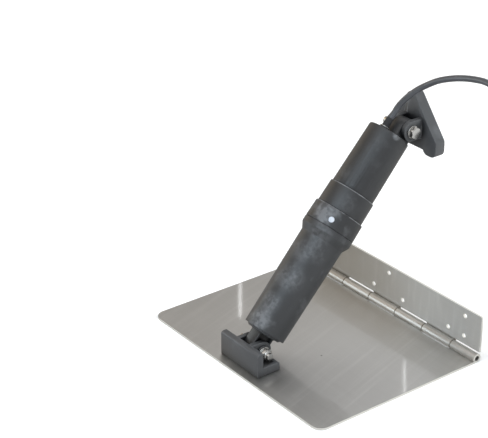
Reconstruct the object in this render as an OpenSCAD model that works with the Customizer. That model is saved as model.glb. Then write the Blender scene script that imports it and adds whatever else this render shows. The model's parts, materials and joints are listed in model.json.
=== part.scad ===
// Electric boat trim tab: a hinged stainless plate driven by a leaning screw actuator.
// X runs along the hinge, +Y points at the boat's transom and +Z is up.
// The origin lies on the transom face of the leaf, at mid span, level with the lower row of screws.

/* [Tab plate] */
// Width of the plate and leaf along the hinge
span = 304.8; // [220:0.1:460]
// From the hinge pin's centre to the trailing edge
chord = 229; // [180:0.5:320]
// Thickness of the plate and of the leaf
sheet = 2.5; // [1.5:0.1:4]
// Radius of the two trailing corners
corner_r = 12.7; // [4:0.1:30]

/* [Hinge] */
// Diameter of the hinge pin
pin_d = 6; // [4:0.1:10]
// Radial room between a part and the pin or bolt that it turns on
run_clear = 0.05; // [0.02:0.01:0.1]
// Length of one full knuckle along the pin
knuckle_pitch = 46.4; // [30:0.1:60]
// How far the row of knuckles is shifted from mid span
knuckle_shift = -2.4; // [-8:0.1:8]
// End room between neighbouring knuckles
knuckle_gap = 0.6; // [0.3:0.1:1.5]
// Room between a knuckle and the notch that it turns in
notch_gap = 0.9; // [0.5:0.1:2]
// Width of the seam where a rolled knuckle closes on its own sheet
seam_w = 0.5; // [0.2:0.1:1]
// How far the pin's ends sit inside the barrel
pin_recess = 1.2; // [0:0.1:4]

/* [Transom leaf] */
// Top of the leaf above the plate's underside
leaf_h = 57; // [54:0.5:90]
// Radius of the leaf's top corners
leaf_corner_r = 1.5; // [0.5:0.1:6]
// Diameter of the leaf's screw holes
leaf_hole_d = 5.6; // [4:0.1:7]
// Lower row of holes above the plate's underside
row_h = 22.2; // [18:0.1:24]
// Upper row above the lower row
row_gap = 25.4; // [20:0.1:27]
// Innermost holes of the lower row, from mid span
inner_hole_x = 25.4; // [15:0.1:40]
// Middle holes of the lower row, from mid span
middle_hole_x = 101.6; // [80:0.1:105]
// Outermost holes of both rows, from mid span
outer_hole_x = 127; // [118:0.1:140]

/* [Lower bracket] */
// From the trailing edge to the bracket's front wall
lower_setback = 10.8; // [4:0.1:30]
// Length of the bracket along the hinge
lower_l = 67.5; // [64:0.5:90]
// Depth of the bracket's base
lower_depth = 31; // [30:0.5:40]
// Height of the front wall
lower_wall_h = 29.5; // [24:0.5:32]
// Thickness of the front wall
lower_wall_t = 8; // [5:0.1:8.2]
// Thickness of the base
lower_base_t = 10.2; // [8:0.1:11]
// Rounding of the wall's front top edge
lower_round = 3; // [1:0.1:4]
// Thickness of each ear
lower_ear_t = 6.4; // [4:0.1:7]
// Height of the round boss on each ear's outer side
lower_boss_h = 2; // [1:0.1:3]
// Radius of that boss
lower_boss_r = 8.2; // [7.7:0.1:9]
// Radius of each ear round the bolt
lower_ear_r = 12.3; // [9:0.1:12.6]
// Height of the bolt above the plate
lower_pivot_h = 17.1; // [17:0.1:22]
// From the front wall's face to the bolt
lower_pivot_back = 21.6; // [21.4:0.1:24]
// Diameter of the screws that hold the bracket to the plate
base_screw_d = 4.8; // [3:0.1:5.2]
// Diameter of those screws' flush heads
base_screw_head_d = 8.8; // [6.4:0.1:9]
// How far those screws reach into the base
base_screw_reach = 6; // [4:0.1:6.5]
// Spread of those screws along the hinge, from the middle
base_screw_x = 25; // [23:0.1:28]

/* [Pivot bolts] */
// Diameter of both pivot bolts
bolt_d = 8; // [6:0.1:8.4]
// Size of the bolts' hexagons across the flats
hex_af = 12.7; // [11:0.1:13]
// Height of a bolt head
head_h = 5.3; // [4:0.1:7]
// Height of a lock nut
nut_h = 8; // [6:0.1:10]
// Thickness of a nut's round locking crown
nut_crown_h = 2.6; // [1.5:0.1:3.5]
// Length of both bolts under the head
bolt_l = 46.5; // [44:0.1:49]
// Diameter of the washers
washer_d = 15; // [13:0.1:15.3]
// Thickness of the washers
washer_t = 1.6; // [1:0.1:2]
// Wall of the sleeve in each eye
bush_wall = 1.5; // [1:0.1:2.5]
// Room between a bolt and the ears that hold it
bolt_clear = 0.1; // [0.05:0.01:0.3]

/* [Ram] */
// Slope of the actuator's axis at rest
lean = 47.7; // [44:0.1:52]
// Thickness of the tongue
tongue_t = 15; // [12:0.1:18]
// Radius of the tongue round the bolt
tongue_r = 12.4; // [10.5:0.1:12.5]
// Room between an eye and the ears beside it
side_gap = 0.4; // [0.3:0.05:0.8]
// Depth of the pockets in the tongue's sides
pocket_deep = 3; // [1:0.1:4]
// Width of the rib round those pockets
pocket_rib = 2.6; // [1.5:0.1:3.5]
// From the lower bolt to the round root of the tongue
tongue_l = 17; // [16:0.1:17.5]
// Diameter of the ram tube
ram_d = 30; // [29:0.1:32]
// Bore of the ram tube
ram_bore = 22; // [18:0.1:24]
// From the lower bolt to the upper end of the ram tube
ram_top = 112; // [100:0.5:114]
// How far the ram slides out
stroke = 57; // [30:1:57]

/* [Lower tube] */
// From the lower bolt to the tube's open end
tube_start = 20; // [19.5:0.1:24]
// Length of the tapered tube
tube_l = 120.5; // [118:0.5:140]
// Outside diameter at the open end
tube_d0 = 49.8; // [48:0.1:52]
// Outside diameter below the flare
tube_d1 = 52.4; // [50:0.1:56]
// Bore of the tube
tube_bore = 42; // [40:0.1:42.4]
// Length of the flare
flare_l = 8; // [4:0.1:12]
// Diameter of the flange above the flare
flange_d = 61.2; // [57:0.1:66]
// Length of the flange
flange_l = 7; // [5:0.1:10]
// Chamfer of the flange, collar and ring edges
edge_chamfer = 0.6; // [0.2:0.1:1]
// How far the end cap stands out of the tube
cap_proud = 2.2; // [1:0.1:2.8]
// Length of the end cap inside the tube
cap_l = 7; // [6.5:0.1:9]
// Length of the ram's guide bush
guide_l = 20; // [12:0.5:24]
// Room between pieces that are pressed or screwed together
seat_clear = 0.05; // [0.02:0.01:0.1]

/* [Drive] */
// Diameter of the leadscrew
screw_d = 12; // [9:0.1:13]
// Length of the drive nut inside the ram tube
drive_nut_l = 16; // [12:0.5:20]
// Thickness of the drive nut's piston
piston_t = 8; // [5:0.1:10]
// Diameter of the screw's bearing
bearing_d = 34; // [30:0.1:38]
// Length of the screw's bearing
bearing_l = 9; // [7:0.1:10]
// Wall between the ram's space and the bearing
bulkhead_t = 3; // [2:0.1:4]
// Diameter of the coupling between gearbox and screw
coupler_d = 18; // [15:0.1:24]
// Length of that coupling
coupler_l = 10; // [8:0.1:14]
// Length of the gearbox
gearbox_l = 25; // [15:0.5:28]
// Length of the motor's can
motor_can_l = 56; // [40:0.5:66]

/* [Collar and ring] */
// Length of the collar
collar_l = 22; // [18:0.1:30]
// Diameter of the collar next to the flange
collar_d0 = 61; // [57:0.1:66]
// Diameter of the collar's other end
collar_d1 = 60; // [57:0.1:66]
// Diameter of the white plug in the collar
plug_d = 6.7; // [4:0.1:9]
// Depth of the white plug
plug_deep = 3.6; // [2:0.1:4]
// Direction of the white plug round the axis, from the front
plug_angle = 36.5; // [0:0.5:90]
// From the flange to the middle of the white plug
plug_rise = 8.6; // [6:0.1:14]
// Length of the lock ring
ring_l = 27; // [20:0.1:34]
// Diameter of the lock ring next to the collar
ring_d0 = 56.4; // [54.5:0.1:58]
// Diameter of the lock ring's other end
ring_d1 = 55.6; // [54:0.1:57]

/* [Upper housing] */
// Length of the housing above the lock ring
housing_l = 78; // [75:0.5:90]
// Diameter of the housing at the lock ring
housing_d0 = 52.4; // [50:0.1:54]
// Diameter of the housing at its top
housing_d1 = 50.2; // [48.5:0.1:52]
// Diameter of the skirt inside the ring and collar
skirt_d = 49.2; // [47.5:0.1:50]
// Bore for the motor and gearbox
motor_bore = 42; // [40:0.1:43]
// Thickness of the housing's closed top
top_t = 13.5; // [10:0.1:14]
// Rounding of the housing's top edge
top_round = 1.8; // [1:0.1:4]
// Thickness of the rubber ring above the motor
damper_t = 6; // [2:0.1:8]
// Height of the upper bolt above the housing's top
eye_rise = 14.5; // [14:0.1:18]
// How far the upper bolt lies behind the actuator's axis
eye_offset = 9; // [8.5:0.1:10]
// Radius of the eye round the upper bolt
eye_r = 12; // [10:0.1:12.4]
// Thickness of the eye
eye_t = 16; // [12:0.1:18]
// How far the eye lies to the near side of the actuator's axis
eye_shift = 5; // [0:0.1:5.5]

/* [Upper bracket] */
// Thickness of each ear
upper_ear_t = 6.6; // [5:0.1:10]
// Radius of each ear round the bolt
upper_ear_r = 12; // [10:0.1:13]
// From the bolt to the flange's front face
flange_back = 14.5; // [14.2:0.1:18]
// Thickness of the flange
flange_t = 14; // [10:0.1:18]
// Width of the flange
flange_w = 87; // [80:0.5:100]
// Top of the flange above the bolt
apex_h = 38.7; // [36:0.1:46]
// Corner radius of the flange
lobe_r = 8; // [6:0.1:10]
// Bolt to the centre of the flange's shoulder rounding, downwards
shoulder_drop = 13.7; // [10:0.1:16]
// Bolt to the flange's lower edge, downwards
foot_drop = 30; // [29:0.1:36]
// Width of the notch in the lower edge
notch_w = 44; // [30:0.5:46]
// Height of the notch in the lower edge
notch_h = 5; // [2:0.1:7]
// Diameter of the blind screw holes in the flange's back
flange_hole_d = 5; // [4:0.1:6]
// Depth of those holes
flange_hole_deep = 10; // [6:0.1:12]
// Lower screw holes, from the middle
flange_hole_x = 33; // [31:0.1:35]
// Lower screw holes below the bolt
flange_hole_drop = 19; // [17:0.1:21]
// Upper screw hole above the bolt
flange_top_hole = 28; // [26:0.1:30]
// Wall left round the hollows in the flange's back
core_wall = 3.2; // [2.5:0.1:4]

/* [Cable] */
// Diameter of the cable
cable_d = 7; // [5:0.1:7.6]
// How far the cable leaves in front of the actuator's axis
gland_offset = 12; // [11.8:0.1:13]
// Height of the gland above the housing's top
gland_h = 14; // [10:0.1:15]
// Diameter of the gland's foot
gland_d = 12.4; // [11.6:0.1:14.4]
// Wire diameter of the clip round the gland
clip_wire = 1; // [0.8:0.1:1.8]
// Radius of the coil's innermost turn
coil_r = 31; // [28:0.5:40]
// Turns side by side in the coil
coil_wide = 3; // [2:1:4]
// Turns on top of each other in the coil
coil_high = 2; // [1:1:3]
// Thickness of the ties round the coil
tie_t = 1.2; // [0.8:0.1:2]
// Width of the ties
tie_w = 6; // [4:0.1:10]
// Length of the connector's body
connector_l = 26; // [20:0.5:34]
// Width of the connector's body
connector_w = 16; // [13:0.5:20]
// Height of the connector's body
connector_h = 10; // [9:0.5:12]

/* [Hidden] */
$fn = 96;
lap = 0.6;
floor_z = -row_h;
plate_top = floor_z + sheet;
bore_r = pin_d / 2 + run_clear;
barrel_r = bore_r + sheet;
hinge_y = -barrel_r;
hinge_z = floor_z + barrel_r;
trailing_y = hinge_y - chord;

// Knuckle ends along the pin: full knuckles about the shifted middle, with short ones at both ends
shortest_end = 20;
full_count = 2 * floor((span / 2 - knuckle_pitch / 2 - shortest_end) / knuckle_pitch) + 1;
knuckle_ends = concat(
    [-span / 2],
    [for (i = [0 : full_count]) knuckle_shift + knuckle_pitch * (i - full_count / 2)],
    [span / 2]);
knuckle_count = len(knuckle_ends) - 1;
plate_knuckles = [for (i = [0 : 2 : knuckle_count - 1]) i];
leaf_knuckles = [for (i = [1 : 2 : knuckle_count - 1]) i];
plate_seam = 205;
leaf_seam = 65;

// Lower bracket and its bolt
lower_front = trailing_y + lower_setback;
lower_wall_y = lower_front + lower_wall_t;
lower_rear = lower_front + lower_depth;
pivot_y = lower_front + lower_pivot_back;
pivot_z = plate_top + lower_pivot_h;
ear_in = tongue_t / 2 + side_gap;
lower_ear_side = ear_in + lower_ear_t;
lower_ear_out = lower_ear_side + lower_boss_h;
swing_room = 0.8;
relief_r = tongue_r + swing_room;
ear_foot = 1;
base_round = 2;
seat_room = 0.6;
seat_r = washer_d / 2 + seat_room;
seat_end = bolt_l - lower_ear_out - washer_t + seat_room;
front_screw_in = 6;
rear_screw_in = 7;
base_screw_rows = [lower_front + front_screw_in, lower_rear - rear_screw_in];
base_screw_cone = (base_screw_head_d - base_screw_d) / 2;
base_screw_land = 0.2;
screw_room = 0.1;

// Pivot fasteners
bolt_r = bolt_d / 2;
bush_bore_r = bolt_r + run_clear;
bush_r = bush_bore_r + bush_wall;
hex_r = hex_af / 2 / cos(30);
head_face_r = hex_af / 2 - 0.2;
head_slope = 1.6;
crown_r = hex_af / 2 - 0.4;
crown_bevel = 1.6;

// Stations along the actuator's axis, from the lower bolt
flare_s = tube_start + tube_l;
flange_s = flare_s + flare_l;
joint_s = flange_s + flange_l;
collar_s = joint_s + collar_l;
ring_s = collar_s + ring_l;
top_s = ring_s + housing_l;
eye_s = top_s + eye_rise;
ram_r = ram_d / 2;
shoulder_l = 7;
ram_start = tongue_l + shoulder_l;
ram_plug_l = 16;
tube_bore_r = tube_bore / 2;
cap_inner = tube_start + cap_l;
cap_bevel = 1.6;
seal_lip = 0.8;
seal_w = 2.2;
seal_groove_s = tube_start + seal_lip;
seal_groove_l = 3.4;
seal_groove_r = ram_r + seal_w;
screw_r = screw_d / 2;
screw_pass_r = screw_r + 2;
bearing_drop = 2.5;
bearing_top = joint_s - bearing_drop;
bearing_lip = 4;
bearing_s = bearing_top - bearing_l;
bulkhead_s = bearing_s - bulkhead_t;
bearing_r = bearing_d / 2;
screw_engaged = 11;
screw_tip = ram_top + piston_t - stroke - screw_engaged;
thrust_t = 2.4;
thrust_r = screw_r + 4;
end_play = 0.1;
thrust_top = bearing_top + end_play + thrust_t;
neck_r = screw_r - 1;
neck_l = 5;
stub_r = 4;
stub_l = 6;
coupler_top = thrust_top + end_play + coupler_l;
gearbox_gap = 0.3;
gearbox_s = coupler_top + gearbox_gap;
motor_s = gearbox_s + gearbox_l;
motor_gap = 0.2;
motor_r = motor_bore / 2 - motor_gap;
brush_end_r = motor_r - 2;
cavity_top = top_s - top_t;
damper_s = cavity_top - damper_t;
seal_rise = 5;
seal_s = joint_s + seal_rise;
seal_wire = 0.82;
seal_sink = 0.66;
seal_half_groove = 1;
seal_mid_r = skirt_d / 2 - seal_sink;
skirt_gap = 0.2;
sleeve_r = skirt_d / 2 + skirt_gap;
plug_edge = 0.5;
plug_step = 0.2;

// Upper bolt and bracket
axis_y = cos(lean);
axis_z = sin(lean);
upper_y = pivot_y + eye_s * axis_y + eye_offset * axis_z;
upper_z = pivot_z + eye_s * axis_z - eye_offset * axis_y;
upper_ear_in = eye_t / 2 + side_gap;
upper_ear_out = upper_ear_in + upper_ear_t;
flange_front = upper_y + flange_back;
flange_rear = flange_front + flange_t;
half_w = flange_w / 2;
foot_x = notch_w / 2 + lobe_r;
flange_holes = [
    [-flange_hole_x, -flange_hole_drop], [flange_hole_x, -flange_hole_drop], [0, flange_top_hole]];
boss_r = flange_hole_d / 2 + core_wall;
core_skin = 4.5;
core_tip_drop = 8;

// Gland and cable; the route's points run from the gland's mouth to the coil
gland_mouth_s = top_s + gland_h;
gland_stem_r = 4.6;
gland_foot_t = 2;
gland_lip = 0.5;
gland_tip_r = cable_d / 2 + gland_lip;
gland_mouth = [0,
    pivot_y + gland_mouth_s * axis_y - gland_offset * axis_z,
    pivot_z + gland_mouth_s * axis_z + gland_offset * axis_y];
coil_x = 215;
coil_y = 45;
coil_slack = 0.1;
coil_pitch = cable_d + coil_slack;
coil_in = coil_r - coil_pitch / 2;
coil_out = coil_in + coil_wide * coil_pitch;
coil_z = floor_z + tie_t;
coil_top = coil_z + coil_high * coil_pitch;
cable_route = [
    [1, -8, 229], [3, -3, 238], [9, 2, 248], [19, 7, 259], [31, 11, 268.4], [46, 14, 277.8],
    [63, 16.5, 285], [79, 17, 290.3], [96, 16.5, 294.6], [117, 14, 298.4], [136, 10.5, 297.5],
    [152, 6.5, 288], [162, 3.5, 270.5], [167.5, 1.5, 248], [169.5, 0, 217], [170, 0, 180], [170, 0, 140],
    [170, 0, 100], [170, 1, 65], [170, 4, 37], [170, 10, 15], [170, 20, -1], [170, 33, -8.5],
    [170, 46, -10.4]];
cable_sides = 10;
cable_steps = 3;
connector_x = coil_x + coil_out - cable_d / 2;
connector_boot_l = 12;
connector_reach = 29;
connector_y = coil_y - connector_reach;
latch_h = 1.4;
socket_r = 1.6;
socket_deep = 8;
tie_angle = 60;

// Extrudes a y-z outline along X between two stations
module along_x(from, to) {
    translate([from, 0, 0]) rotate([90, 0, 90]) linear_extrude(to - from) children();
}

// Extrudes an x-z outline along Y between two stations
module along_y(from, to) {
    translate([0, to, 0]) rotate([90, 0, 0]) linear_extrude(to - from) children();
}

// A round rod or hole along X at a given y and z
module rod_x(from, to, y, z, r) {
    translate([from, y, z]) rotate([0, 90, 0]) cylinder(h = to - from, r = r);
}

// Sets children in the actuator's frame: Z along its axis from the lower bolt, Y to its rear
module on_actuator() {
    translate([0, pivot_y, pivot_z]) rotate([lean - 90, 0, 0]) children();
}

// A ring turned about the actuator's axis
module turned_ring(from, to, r_in, r_out) {
    translate([0, 0, from]) difference() {
        cylinder(h = to - from, r = r_out);
        translate([0, 0, -1]) cylinder(h = to - from + 2, r = r_in);
    }
}

// Outline round a ring of discs [x, y, r] listed anticlockwise: their common tangents and the discs themselves
function tangent_angle(p, q) =
    atan2(q.y - p.y, q.x - p.x) - acos((p.z - q.z) / norm([q.x - p.x, q.y - p.y]));
function tangent_ends(p, q) =
    let (a = tangent_angle(p, q), u = [cos(a), sin(a)]) [[p.x, p.y] + p.z * u, [q.x, q.y] + q.z * u];
module outline(discs) {
    last = len(discs) - 1;
    polygon([for (i = [0 : last]) each tangent_ends(discs[i], discs[i == last ? 0 : i + 1])]);
    for (d = discs) translate([d.x, d.y]) circle(d.z);
}

// Hinge

// One rolled knuckle: a ring round the pin that closes on its own sheet at a narrow seam
module knuckle(i, seam_angle) {
    along_x(knuckle_ends[i] + (i == 0 ? 0 : knuckle_gap / 2),
            knuckle_ends[i + 1] - (i == knuckle_count - 1 ? 0 : knuckle_gap / 2))
        translate([hinge_y, hinge_z]) difference() {
            circle(barrel_r);
            circle(bore_r);
            rotate(seam_angle) translate([0, -seam_w / 2]) square([barrel_r + 1, seam_w]);
        }
}

module plate_outline() {
    difference() {
        union() {
            translate([-span / 2, trailing_y + corner_r]) square([span, chord - corner_r - lap]);
            translate([corner_r - span / 2, trailing_y]) square([span - 2 * corner_r, corner_r + lap]);
            for (side = [-1, 1])
                translate([side * (span / 2 - corner_r), trailing_y + corner_r]) circle(corner_r);
        }
        for (i = leaf_knuckles)
            translate([knuckle_ends[i] - knuckle_gap / 2, hinge_y - barrel_r - notch_gap])
                square([knuckle_ends[i + 1] - knuckle_ends[i] + knuckle_gap, barrel_r + notch_gap + 1]);
    }
}

// Stainless plate with rounded trailing corners, rolled knuckles and flush screw holes
module tab_plate() {
    color([0.66, 0.64, 0.60]) union() {
        difference() {
            translate([0, 0, floor_z]) linear_extrude(sheet) plate_outline();
            base_screws(screw_room, 1);
        }
        for (i = plate_knuckles) knuckle(i, plate_seam);
    }
}

// Long stainless pin through every knuckle
module hinge_pin() {
    color([0.55, 0.55, 0.55])
        rod_x(pin_recess - span / 2, span / 2 - pin_recess, hinge_y, hinge_z, pin_d / 2);
}

module leaf_outline() {
    leaf_top = floor_z + leaf_h;
    difference() {
        union() {
            translate([-span / 2, hinge_z + lap]) square([span, leaf_top - leaf_corner_r - hinge_z - lap]);
            translate([leaf_corner_r - span / 2, leaf_top - leaf_corner_r - lap])
                square([span - 2 * leaf_corner_r, leaf_corner_r + lap]);
            for (side = [-1, 1])
                translate([side * (span / 2 - leaf_corner_r), leaf_top - leaf_corner_r]) circle(leaf_corner_r);
        }
        for (i = plate_knuckles) {
            from = i == 0 ? -span / 2 - 1 : knuckle_ends[i] - knuckle_gap / 2;
            to = i == knuckle_count - 1 ? span / 2 + 1 : knuckle_ends[i + 1] + knuckle_gap / 2;
            translate([from, hinge_z - 1]) square([to - from, barrel_r + notch_gap + 1]);
        }
        for (side = [-1, 1]) {
            for (x = [inner_hole_x, middle_hole_x, outer_hole_x])
                translate([side * x, 0]) circle(leaf_hole_d / 2);
            translate([side * outer_hole_x, row_gap]) circle(leaf_hole_d / 2);
        }
        translate([0, row_gap]) circle(leaf_hole_d / 2);
    }
}

// Upright stainless leaf that screws to the transom
module transom_leaf() {
    color([0.68, 0.66, 0.62]) union() {
        along_y(-sheet, 0) leaf_outline();
        for (i = leaf_knuckles) knuckle(i, leaf_seam);
    }
}

// Lower bracket and its fasteners

module lower_profile() {
    wall_top = plate_top + lower_wall_h;
    base_top = plate_top + lower_base_t;
    outline([
        [lower_front + ear_foot, plate_top + ear_foot, ear_foot],
        [lower_wall_y - ear_foot, plate_top + ear_foot, ear_foot],
        [lower_wall_y - ear_foot, wall_top - ear_foot, ear_foot],
        [lower_front + lower_round, wall_top - lower_round, lower_round]]);
    outline([
        [lower_front + ear_foot, plate_top + ear_foot, ear_foot],
        [lower_rear - ear_foot, plate_top + ear_foot, ear_foot],
        [lower_rear - base_round, base_top - base_round, base_round],
        [lower_front + ear_foot, base_top - ear_foot, ear_foot]]);
}

module lower_ear_outline() {
    outline([
        [pivot_y, pivot_z, lower_ear_r],
        [lower_wall_y, pivot_z + lower_ear_r - ear_foot, ear_foot],
        [lower_wall_y, plate_top + ear_foot, ear_foot],
        [lower_rear - ear_foot, plate_top + ear_foot, ear_foot]]);
}

// Black moulded clevis: a tall front wall, a flat base, two ears with bosses, and seats for the bolt's ends
module lower_bracket() {
    color([0.20, 0.20, 0.21]) difference() {
        union() {
            along_x(-lower_l / 2, lower_l / 2) lower_profile();
            for (from = [-lower_ear_side, ear_in])
                along_x(from, from + lower_ear_t) lower_ear_outline();
            rod_x(-lower_ear_out, lower_ear_out, pivot_y, pivot_z, lower_boss_r);
        }
        rod_x(-ear_in, ear_in, pivot_y, pivot_z, relief_r);
        for (from = [-seat_end, lower_ear_out])
            rod_x(from, from + seat_end - lower_ear_out, pivot_y, pivot_z, seat_r);
        rod_x(-lower_l, lower_l, pivot_y, pivot_z, bolt_r + bolt_clear);
        base_screws(screw_room, 0.5);
    }
}

// Flush screws from under the plate; the same shape, grown by some room, cuts their holes
module base_screws(room, deeper) {
    for (x = [-base_screw_x, base_screw_x], y = base_screw_rows)
        translate([x, y, floor_z]) {
            translate([0, 0, -room]) cylinder(h = room + base_screw_land, r = base_screw_head_d / 2 + room);
            translate([0, 0, base_screw_land])
                cylinder(h = base_screw_cone, r1 = base_screw_head_d / 2 + room, r2 = base_screw_d / 2 + room);
            cylinder(h = sheet + base_screw_reach + room * deeper, r = base_screw_d / 2 + room);
        }
}

// Four stainless screws that hold the bracket down
module bracket_screws() {
    color([0.72, 0.72, 0.70]) intersection() {
        base_screws(0, 0);
        translate([-span / 2, trailing_y, floor_z + base_screw_land]) cube([span, chord, leaf_h]);
    }
}

// A bolt along +X with its head's seat at x = 0
module hex_bolt() {
    rotate([0, 90, 0]) {
        cylinder(h = bolt_l, r = bolt_r);
        translate([0, 0, -head_h]) intersection() {
            cylinder(h = head_h, r = hex_r, $fn = 6);
            cylinder(h = head_h, r1 = head_face_r, r2 = head_face_r + head_h * head_slope);
        }
    }
}

// A lock nut along +X with its seat at x = 0
module lock_nut() {
    rotate([0, 90, 0]) difference() {
        union() {
            cylinder(h = nut_h - nut_crown_h, r = hex_r, $fn = 6);
            translate([0, 0, nut_h - nut_crown_h]) cylinder(h = nut_crown_h - crown_bevel, r = crown_r);
            translate([0, 0, nut_h - crown_bevel])
                cylinder(h = crown_bevel, r1 = crown_r, r2 = crown_r - crown_bevel);
        }
        translate([0, 0, -1]) cylinder(h = nut_h + 2, r = bolt_r + seat_clear);
    }
}

// A pair of washers outside two ears
module washer_pair(ear_out) {
    for (from = [-ear_out - washer_t, ear_out])
        translate([from, 0, 0]) rotate([0, 90, 0]) difference() {
            cylinder(h = washer_t, r = washer_d / 2);
            translate([0, 0, -1]) cylinder(h = washer_t + 2, r = bolt_r + bolt_clear);
        }
}

// Stainless hex bolt through the lower clevis, its head on the far side
module lower_pivot_bolt() {
    color([0.78, 0.77, 0.74]) translate([-lower_ear_out - washer_t, pivot_y, pivot_z]) hex_bolt();
}

module lower_pivot_nut() {
    color([0.78, 0.77, 0.74]) translate([lower_ear_out + washer_t, pivot_y, pivot_z]) lock_nut();
}

module lower_pivot_washers() {
    color([0.78, 0.77, 0.74]) translate([0, pivot_y, pivot_z]) washer_pair(lower_ear_out);
}

// Ram

// Black moulded tongue with ribbed sides and a round plug for the ram tube
module ram_end() {
    web = tongue_r - pocket_rib;
    color([0.17, 0.17, 0.18]) on_actuator() difference() {
        union() {
            along_x(-tongue_t / 2, tongue_t / 2) {
                circle(tongue_r);
                translate([-tongue_r, 0]) square([2 * tongue_r, tongue_l + lap]);
            }
            translate([0, 0, tongue_l]) cylinder(h = ram_start - tongue_l, r = ram_r - seat_clear);
            translate([0, 0, tongue_l])
                cylinder(h = ram_start - tongue_l + ram_plug_l, r = ram_bore / 2 - seat_clear);
        }
        for (from = [-tongue_t / 2 - 1, tongue_t / 2 - pocket_deep])
            along_x(from, from + pocket_deep + 1) difference() {
                translate([-web, 0]) square([2 * web, tongue_l]);
                circle(bush_r + pocket_rib);
            }
        rod_x(-tongue_t, tongue_t, 0, 0, bush_r + seat_clear);
    }
}

module eye_bush(width) {
    rotate([0, 90, 0]) turned_ring(-width / 2, width / 2, bush_bore_r, bush_r);
}

// Bronze sleeve in the tongue's eye
module lower_pivot_bush() {
    color([0.62, 0.47, 0.25]) on_actuator() eye_bush(tongue_t);
}

// Stainless tube that slides out of the lower tube
module ram_tube() {
    color([0.75, 0.75, 0.74]) on_actuator() turned_ring(ram_start, ram_top, ram_bore / 2, ram_r);
}

// Bronze nut on the leadscrew, with a piston that guides the ram's upper end
module drive_nut() {
    color([0.66, 0.50, 0.27]) on_actuator() difference() {
        union() {
            translate([0, 0, ram_top - drive_nut_l]) cylinder(h = drive_nut_l, r = ram_bore / 2 - seat_clear);
            translate([0, 0, ram_top]) cylinder(h = piston_t, r = tube_bore_r - 2 * run_clear);
        }
        translate([0, 0, ram_top - drive_nut_l - 1])
            cylinder(h = drive_nut_l + piston_t + 2, r = screw_r + run_clear);
    }
}

// Actuator's outer tube and its fittings

// Black tapered tube: open bore for the ram, bulkhead, bearing seat and flared flange
module lower_tube() {
    r0 = tube_d0 / 2;
    color([0.19, 0.19, 0.20]) on_actuator() rotate_extrude() polygon([
        [tube_bore_r, tube_start], [r0 - edge_chamfer, tube_start], [r0, tube_start + edge_chamfer],
        [tube_d1 / 2, flare_s], [flange_d / 2, flange_s], [flange_d / 2, joint_s - edge_chamfer],
        [flange_d / 2 - edge_chamfer, joint_s], [bearing_r + bearing_lip, joint_s],
        [bearing_r + bearing_lip, bearing_top], [bearing_r, bearing_top], [bearing_r, bearing_s],
        [screw_pass_r, bearing_s], [screw_pass_r, bulkhead_s],
        [tube_bore_r, bulkhead_s]]);
}

// Stepped ring that closes the tube round the ram
module tube_end_cap() {
    r = tube_bore_r - seat_clear;
    inner = ram_r + 2 * run_clear;
    color([0.15, 0.15, 0.16]) on_actuator() rotate_extrude() polygon([
        [inner, tube_start - cap_proud], [r - cap_bevel, tube_start - cap_proud],
        [r, tube_start - cap_proud + cap_bevel],
        [r, cap_inner], [inner, cap_inner], [inner, seal_groove_s + seal_groove_l],
        [seal_groove_r, seal_groove_s + seal_groove_l], [seal_groove_r, seal_groove_s],
        [inner, seal_groove_s]]);
}

// Rubber ring that wipes the ram
module wiper_seal() {
    color([0.10, 0.10, 0.10]) on_actuator()
        turned_ring(seal_groove_s + seat_clear, seal_groove_s + seal_groove_l - seat_clear,
            ram_r + run_clear, seal_groove_r - seat_clear);
}

// Plain bearing that the ram slides in
module guide_bush() {
    color([0.80, 0.78, 0.70]) on_actuator()
        turned_ring(cap_inner + seat_clear, cap_inner + guide_l, ram_r + run_clear, tube_bore_r - seat_clear);
}

// A tapered ring with chamfered rims that slides over the housing's skirt
module tapered_sleeve(from, to, d0, d1) {
    rotate_extrude() polygon([
        [sleeve_r, from], [d0 / 2 - edge_chamfer, from], [d0 / 2, from + edge_chamfer],
        [d1 / 2, to - edge_chamfer], [d1 / 2 - edge_chamfer, to], [sleeve_r, to]]);
}

// Sets children at the plug's place, Z pointing out of the collar
module at_plug() {
    translate([0, 0, joint_s + plug_rise]) rotate([0, 0, plug_angle]) rotate([90, 0, 0])
        translate([0, 0, (collar_d0 + collar_d1) / 4 - plug_deep]) children();
}

// Black collar over the joint of tube and housing
module collar() {
    color([0.22, 0.22, 0.23]) on_actuator() difference() {
        tapered_sleeve(joint_s, collar_s, collar_d0, collar_d1);
        at_plug() cylinder(h = plug_deep * 2, r = plug_d / 2 + seat_clear);
    }
}

// White plug in the collar
module collar_plug() {
    color([0.92, 0.93, 0.96]) on_actuator() at_plug() {
        cylinder(h = plug_deep - plug_step, r = plug_d / 2);
        cylinder(h = plug_deep + plug_step, r = plug_d / 2 - plug_edge);
    }
}

// Smaller black ring between collar and housing
module lock_ring() {
    color([0.20, 0.20, 0.21]) on_actuator() tapered_sleeve(collar_s, ring_s, ring_d0, ring_d1);
}

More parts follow.
